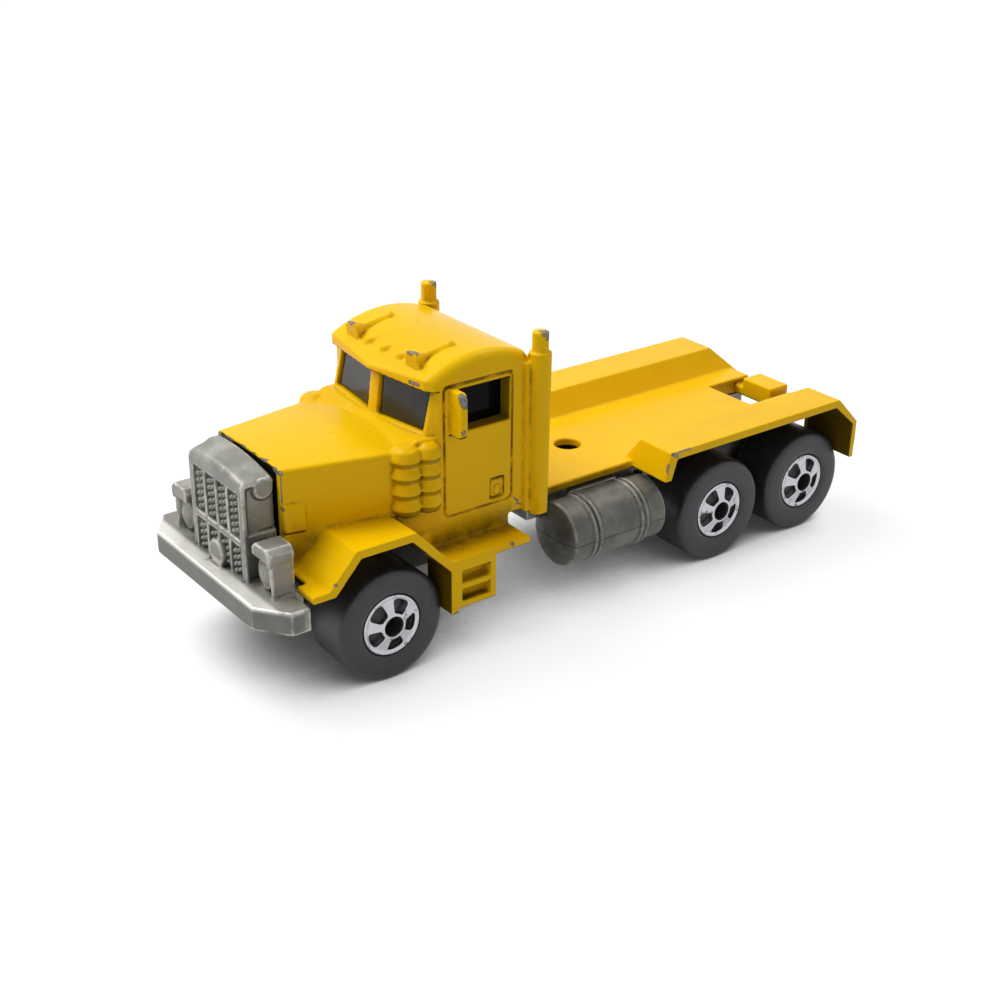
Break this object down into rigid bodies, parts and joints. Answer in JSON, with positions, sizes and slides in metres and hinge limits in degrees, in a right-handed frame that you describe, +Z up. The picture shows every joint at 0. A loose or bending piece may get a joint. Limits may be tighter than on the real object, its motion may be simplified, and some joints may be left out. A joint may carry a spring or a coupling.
{
  "type": "toy tanker truck with its tank missing",
  "caption": "Small die-cast toy of a long-nosed tandem-axle tanker lorry, shown without its tank: painted cab and bed casting on a bare metal base with free-rolling wheels.",
  "frame": {"origin": "centre of the footprint, on the ground under the wheels", "axes": "+X towards the bumper, +Y to the driver's side, +Z up"},
  "size_m": [0.0734, 0.0252, 0.03],
  "materials": {
    "yellow_enamel": "gloss enamel over die casting, chipped at the edges",
    "bare_casting": "bare zinc die casting, dulled",
    "smoked_plastic": "dark smoked clear plastic",
    "axle_steel": "drawn wire",
    "black_plastic": "moulded, semi-matt",
    "bright_foil": "hot-stamped bright foil"
  },
  "bodies": {
    "truck": {"body_casting": "yellow_enamel", "base_casting": "bare_casting", "window_insert": "smoked_plastic", "axle_front": "axle_steel", "axle_mid": "axle_steel", "axle_rear": "axle_steel"},
    "wheel_front_left": {"wheel_front_left": "black_plastic", "hub_foil_front_left": "bright_foil"},
    "wheel_front_right": {"wheel_front_right": "black_plastic", "hub_foil_front_right": "bright_foil"},
    "wheel_mid_left": {"wheel_mid_left": "black_plastic", "hub_foil_mid_left": "bright_foil"},
    "wheel_mid_right": {"wheel_mid_right": "black_plastic", "hub_foil_mid_right": "bright_foil"},
    "wheel_rear_left": {"wheel_rear_left": "black_plastic", "hub_foil_rear_left": "bright_foil"},
    "wheel_rear_right": {"wheel_rear_right": "black_plastic", "hub_foil_rear_right": "bright_foil"}
  },
  "joints": [
    {"name": "wheel_front_left_spin", "type": "hinge", "parent": "truck", "child": "wheel_front_left", "pos_m": [0.02335, 0.00815, 0.0056], "axis": [0, 1, 0], "continuous": true},
    {"name": "wheel_front_right_spin", "type": "hinge", "parent": "truck", "child": "wheel_front_right", "pos_m": [0.02335, -0.00815, 0.0056], "axis": [0, 1, 0], "continuous": true},
    {"name": "wheel_mid_left_spin", "type": "hinge", "parent": "truck", "child": "wheel_mid_left", "pos_m": [-0.0181, 0.00815, 0.0056], "axis": [0, 1, 0], "continuous": true},
    {"name": "wheel_mid_right_spin", "type": "hinge", "parent": "truck", "child": "wheel_mid_right", "pos_m": [-0.0181, -0.00815, 0.0056], "axis": [0, 1, 0], "continuous": true},
    {"name": "wheel_rear_left_spin", "type": "hinge", "parent": "truck", "child": "wheel_rear_left", "pos_m": [-0.03065, 0.00815, 0.0056], "axis": [0, 1, 0], "continuous": true},
    {"name": "wheel_rear_right_spin", "type": "hinge", "parent": "truck", "child": "wheel_rear_right", "pos_m": [-0.03065, -0.00815, 0.0056], "axis": [0, 1, 0], "continuous": true}
  ]
}
